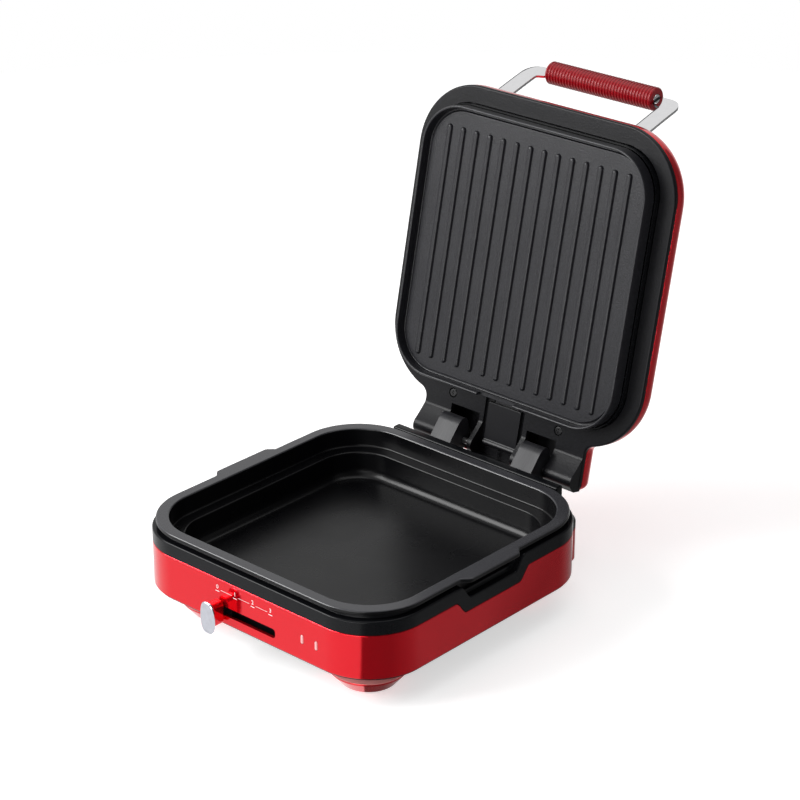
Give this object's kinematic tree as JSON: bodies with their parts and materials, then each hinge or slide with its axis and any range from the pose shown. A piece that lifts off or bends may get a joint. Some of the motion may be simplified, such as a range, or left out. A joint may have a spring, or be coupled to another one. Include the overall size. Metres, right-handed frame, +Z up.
{
  "type": "pancake and sandwich maker",
  "caption": "Countertop pancake and sandwich maker with a deep square pan in a red heated base and a hinged lid that holds a ribbed grill plate.",
  "frame": {"origin": "centre of the footprint of the whole object with its lid open, on the surface that it stands on", "axes": "+X to the user's right, +Y from the front lever to the hinge at the back, +Z up"},
  "size_m": [0.259, 0.4257, 0.3552],
  "materials": {
    "red_gloss": "gloss",
    "black_satin": "satin",
    "non_stick": "satin non-stick coat on aluminium",
    "grey_satin": "satin",
    "chrome": "polished",
    "steel": "plain",
    "heater_tube": "heat-darkened",
    "red_grip": "gloss",
    "lamp_lens": "translucent"
  },
  "bodies": {
    "base": {"base_shell": "red_gloss", "base_trim": "black_satin", "base_bottom": "black_satin", "rear_housing": "red_gloss", "rear_cap": "black_satin", "cord_gland": "black_satin", "terminal_block": "lamp_lens", "reflector_tray": "steel", "deep_pan": "non_stick", "lower_heater": "heater_tube", "lower_clip_left": "steel", "lower_clip_right": "steel", "pan_thermostat": "black_satin", "heat_control": "black_satin", "lamp_holder": "black_satin", "lamp_left": "lamp_lens", "lamp_right": "lamp_lens", "hinge_arm_left": "grey_satin", "hinge_arm_right": "grey_satin", "hinge_pin_left": "steel", "hinge_pin_right": "steel", "foot_front_left": "red_gloss", "foot_screw_front_left": "steel", "foot_front_right": "red_gloss", "foot_screw_front_right": "steel", "foot_rear_left": "red_gloss", "foot_screw_rear_left": "steel", "foot_rear_right": "red_gloss", "foot_screw_rear_right": "steel"},
    "lid": {"lid_shell": "red_gloss", "lid_frame": "black_satin", "frame_screw_left": "steel", "frame_screw_right": "steel", "upper_reflector": "steel", "upper_heater": "heater_tube", "upper_clip_left": "steel", "upper_clip_right": "steel", "plate_thermostat": "black_satin", "grill_plate": "non_stick", "handle_strap_left": "chrome", "handle_strap_right": "chrome", "handle_rod": "chrome", "handle_grip": "red_grip", "latch_spring": "steel"},
    "lever": {"lever_knob": "red_gloss", "lever_cap": "chrome", "lever_carriage": "black_satin"},
    "latch": {"plate_latch": "black_satin"}
  },
  "joints": [
    {"name": "lid_hinge", "type": "hinge", "parent": "base", "child": "lid", "pos_m": [0, 0.07858, 0.07545], "axis": [1, 0, 0], "range_deg": [0, 101.62]},
    {"name": "lever_slide", "type": "slide", "parent": "base", "child": "lever", "axis": [1, 0, 0], "range_m": [0, 0.0504]},
    {"name": "latch_slide", "type": "slide", "parent": "lid", "child": "latch", "axis": [0, -0.2014, -0.9795], "range_m": [0, 0.0045], "stiffness_N_per_m": 300, "springref_m": -0.003, "deforming": ["latch_spring"]}
  ]
}
